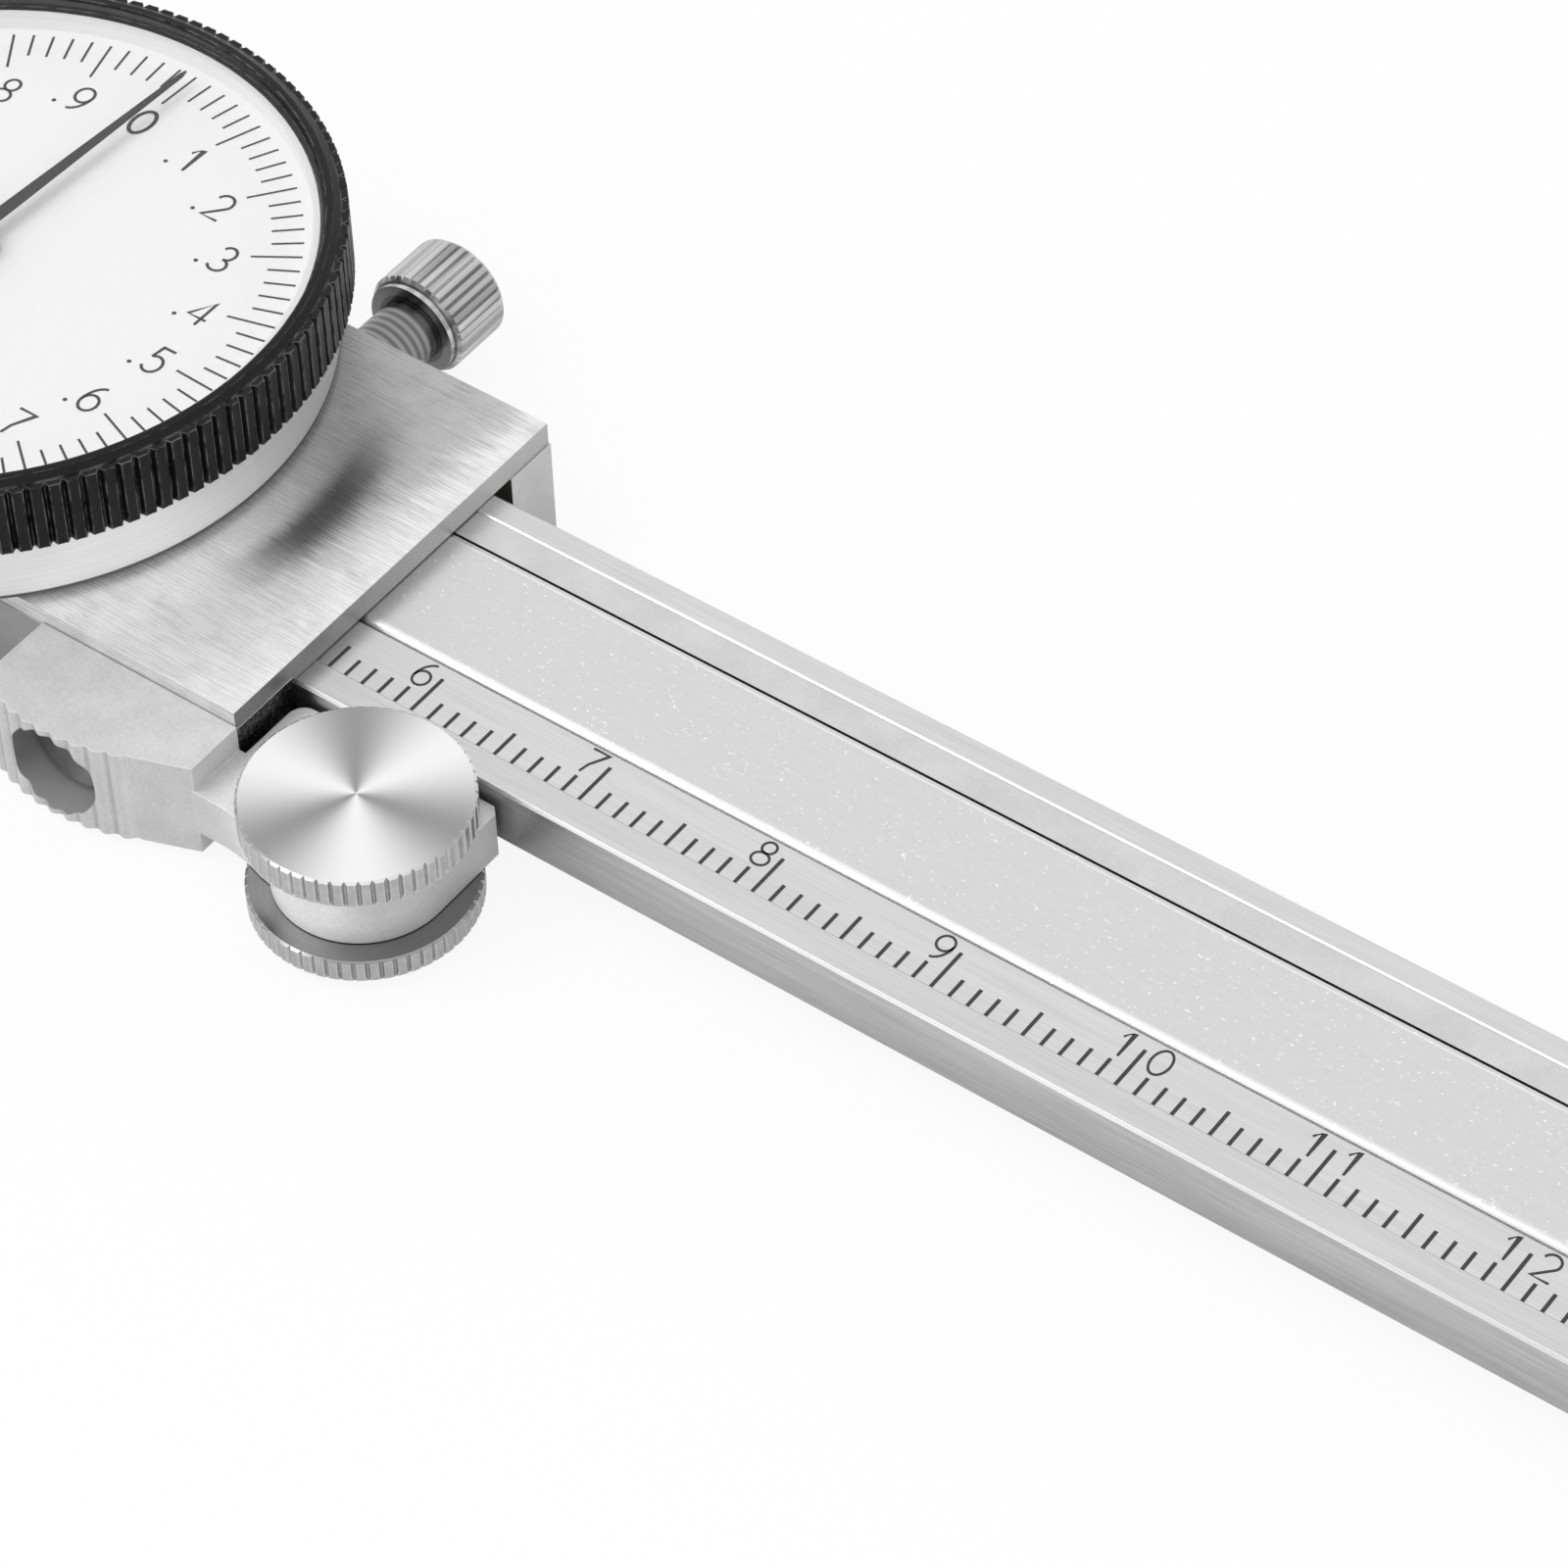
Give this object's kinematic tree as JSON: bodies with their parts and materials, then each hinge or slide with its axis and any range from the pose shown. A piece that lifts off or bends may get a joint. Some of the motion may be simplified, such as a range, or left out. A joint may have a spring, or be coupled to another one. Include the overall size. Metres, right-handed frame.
{
  "type": "dial caliper",
  "caption": "Dial caliper with outside and inside jaws, depth rod, rack-driven dial with turning bezel, thumb roller and lock screw, closed at zero.",
  "frame": {"origin": "on the slider's back face, where the scale's zero line crosses the beam's centre line", "axes": "+X along the beam towards the depth rod's end, +Y across the beam towards the inside jaws, +Z out of the dial"},
  "size_m": [0.238, 0.0714, 0.0162],
  "materials": {
    "beam_steel": "satin, fine grain along the beam",
    "rack_steel": "satin",
    "end_nickel": "bright plated",
    "slider_steel": "satin",
    "cover_brushed": "brushed along the beam",
    "screw_steel": "turned",
    "gib_brass": "milled",
    "rod_brushed": "brushed along the rod",
    "block_satin": "blasted satin",
    "roller_bright": "turned and polished",
    "knob_bright": "turned, fluted",
    "case_turned": "fine turned",
    "bezel_black": "black satin",
    "crystal_clear": "polished clear",
    "dial_white": "white, semi-matt",
    "pointer_black": "black satin",
    "movement_brass": "machined",
    "spring_steel": "drawn"
  },
  "bodies": {
    "frame": {"beam": "beam_steel", "rack_bar": "rack_steel", "end_plate": "end_nickel", "end_screw_1": "end_nickel", "end_screw_2": "end_nickel"},
    "slider": {"slider_body": "slider_steel", "cover_plate": "cover_brushed", "cover_screw_1": "screw_steel", "cover_screw_2": "screw_steel", "cover_screw_3": "screw_steel", "cover_screw_4": "screw_steel", "gib": "gib_brass", "gib_screw_1": "screw_steel", "gib_screw_2": "screw_steel", "depth_rod": "rod_brushed", "rod_pin_1": "screw_steel", "rod_pin_2": "screw_steel", "thumb_block": "block_satin", "block_screw": "roller_bright", "dial_case": "case_turned", "case_screw_1": "screw_steel", "case_screw_2": "screw_steel", "case_screw_3": "screw_steel", "snap_ring": "spring_steel", "pinion_bush": "movement_brass", "bridge": "movement_brass", "post_1": "movement_brass", "post_2": "movement_brass", "post_3": "movement_brass", "bridge_screw_1": "screw_steel", "bridge_screw_2": "screw_steel", "bridge_screw_3": "screw_steel"},
    "bezel_group": {"bezel": "bezel_black", "crystal": "crystal_clear", "dial_face": "dial_white", "face_ring": "dial_white"},
    "pinion_group": {"rack_pinion": "movement_brass", "main_gear": "movement_brass", "scissor_gear": "movement_brass", "scissor_spring": "spring_steel", "spring_pin": "spring_steel"},
    "hand_group": {"centre_arbor": "movement_brass", "pointer": "pointer_black"},
    "thumb_roller": {"roller_top": "roller_bright", "roller_bottom": "roller_bright", "roller_screw": "screw_steel"},
    "pad": {"lock_pad": "gib_brass"},
    "lock": {"lock_screw": "knob_bright"}
  },
  "joints": [
    {"name": "slider_slide", "type": "slide", "parent": "frame", "child": "slider", "axis": [1, 0, 0], "range_m": [0, 0.15]},
    {"name": "pinion_spin", "type": "hinge", "parent": "slider", "child": "pinion_group", "pos_m": [0.02031, 0.00314, 0.0086], "axis": [0, 0, 1], "continuous": true},
    {"name": "hand_spin", "type": "hinge", "parent": "slider", "child": "hand_group", "pos_m": [0.0281, 0, 0.0126], "axis": [0, 0, 1], "continuous": true},
    {"name": "roller_spin", "type": "hinge", "parent": "slider", "child": "thumb_roller", "pos_m": [0.0624, -0.01287, 0.0036], "axis": [0, 0, 1], "continuous": true},
    {"name": "bezel_turn", "type": "hinge", "parent": "slider", "child": "bezel_group", "pos_m": [0.0281, 0, 0.0136], "axis": [0, 0, 1], "continuous": true},
    {"name": "lock_advance", "type": "slide", "parent": "slider", "child": "pad", "axis": [0, 1, 0], "range_m": [-0.000025, 0.0009]},
    {"name": "lock_turn", "type": "hinge", "parent": "pad", "child": "lock", "pos_m": [0.0419, 0.016, 0.00355], "axis": [0, 1, 0], "range_deg": [-20.5, 720.5]}
  ],
  "couplings": [
    {"joint": "pinion_spin", "follows": "slider_slide", "rad_per_m": 628.32},
    {"joint": "hand_spin", "follows": "slider_slide", "rad_per_m": -3141.6},
    {"joint": "roller_spin", "follows": "slider_slide", "rad_per_m": 195.31},
    {"joint": "lock_turn", "follows": "lock_advance", "rad_per_m": 13963}
  ]
}
